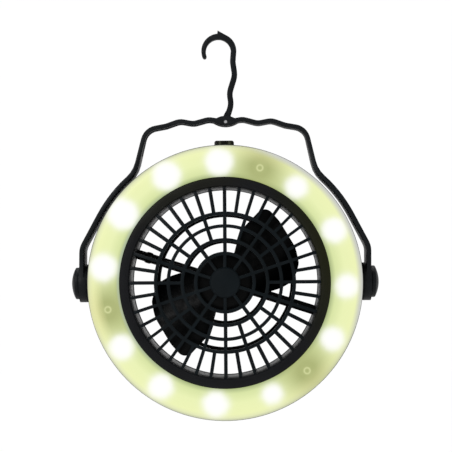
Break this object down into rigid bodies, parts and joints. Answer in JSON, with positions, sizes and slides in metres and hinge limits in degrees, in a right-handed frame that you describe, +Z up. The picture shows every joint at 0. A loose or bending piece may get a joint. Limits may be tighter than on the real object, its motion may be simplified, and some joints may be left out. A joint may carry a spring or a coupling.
{
  "type": "camping fan with ring lamp",
  "caption": "Round ducted camping fan inside a glowing ring lamp, with a swinging carry handle and a folding hanging hook.",
  "frame": {"origin": "centre of the hanging hook's loop, halfway through the hook's depth", "axes": "+Z up along the hanging fan, -Y out of the front grille where the air blows, +X to the viewer's right"},
  "size_m": [0.2024, 0.0446, 0.2568],
  "materials": {
    "housing_plastic": "fine matte moulding",
    "lens_plastic": "translucent diffuser, satin",
    "white_board": "white solder mask",
    "led_resin": "clear resin, lit",
    "bezel_plastic": "fine matte moulding",
    "grille_plastic": "satin moulding",
    "guard_plastic": "matte moulding",
    "fan_plastic": "satin black moulding",
    "bright_steel": "plated",
    "copper_winding": "varnished wire",
    "motor_steel": "plated can",
    "magnet": "sintered ferrite",
    "white_nylon": "moulded nylon",
    "wire_sheath": "soft vinyl",
    "hot_glue": "black glue",
    "green_board": "solder mask",
    "button_plastic": "semi-gloss moulding",
    "cell_sleeve": "printed foil sleeve, plain",
    "screw_steel": "zinc plated",
    "handle_plastic": "fine matte moulding",
    "friction_rubber": "plain"
  },
  "bodies": {
    "hook": {"hook": "handle_plastic"},
    "handle": {"handle": "handle_plastic", "hook_pin": "bright_steel", "pivot_cap_left": "handle_plastic", "pivot_cap_right": "handle_plastic"},
    "body": {"rear_housing": "housing_plastic", "lens_ring": "lens_plastic", "lamp_board": "white_board", "leds": "led_resin", "bezel": "bezel_plastic", "front_grille": "grille_plastic", "rear_guard": "guard_plastic", "motor_cup": "guard_plastic", "motor_can": "motor_steel", "motor_magnet": "magnet", "motor_end_cap": "white_nylon", "motor_wires": "wire_sheath", "glue_dabs": "hot_glue", "control_board": "green_board", "switch_body": "motor_steel", "battery_cells": "cell_sleeve", "battery_springs": "bright_steel", "battery_contacts": "bright_steel", "battery_leads": "wire_sheath", "lens_screws": "screw_steel", "guard_screws": "screw_steel", "control_board_screws": "screw_steel", "friction_washer_left": "friction_rubber", "friction_washer_right": "friction_rubber", "pivot_washer_left": "bright_steel", "pivot_washer_right": "bright_steel", "pivot_screw_left": "screw_steel", "pivot_screw_right": "screw_steel"},
    "rotor": {"fan_rotor": "fan_plastic", "motor_shaft": "bright_steel", "motor_armature": "copper_winding"},
    "button": {"button_cap": "button_plastic", "switch_plunger": "guard_plastic"},
    "door": {"battery_door": "housing_plastic"}
  },
  "joints": [
    {"name": "hook_fold", "type": "hinge", "parent": "hook", "child": "handle", "pos_m": [0.00455, 0, -0.0471], "axis": [0, 1, 0], "range_deg": [0, 102]},
    {"name": "handle_swing", "type": "hinge", "parent": "handle", "child": "body", "pos_m": [0.00345, 0, -0.1528], "axis": [1, 0, 0], "range_deg": [-180, 180]},
    {"name": "fan_spin", "type": "hinge", "parent": "body", "child": "rotor", "pos_m": [0.00345, 0, -0.1528], "axis": [0, -1, 0], "continuous": true},
    {"name": "button_press", "type": "slide", "parent": "body", "child": "button", "axis": [0, 0, -1], "range_m": [0, 0.0008], "stiffness_N_per_m": 800, "springref_m": -0.0006},
    {"name": "battery_door_lift", "type": "slide", "parent": "body", "child": "door", "axis": [0, 1, 0], "range_m": [0, 0.018]}
  ]
}
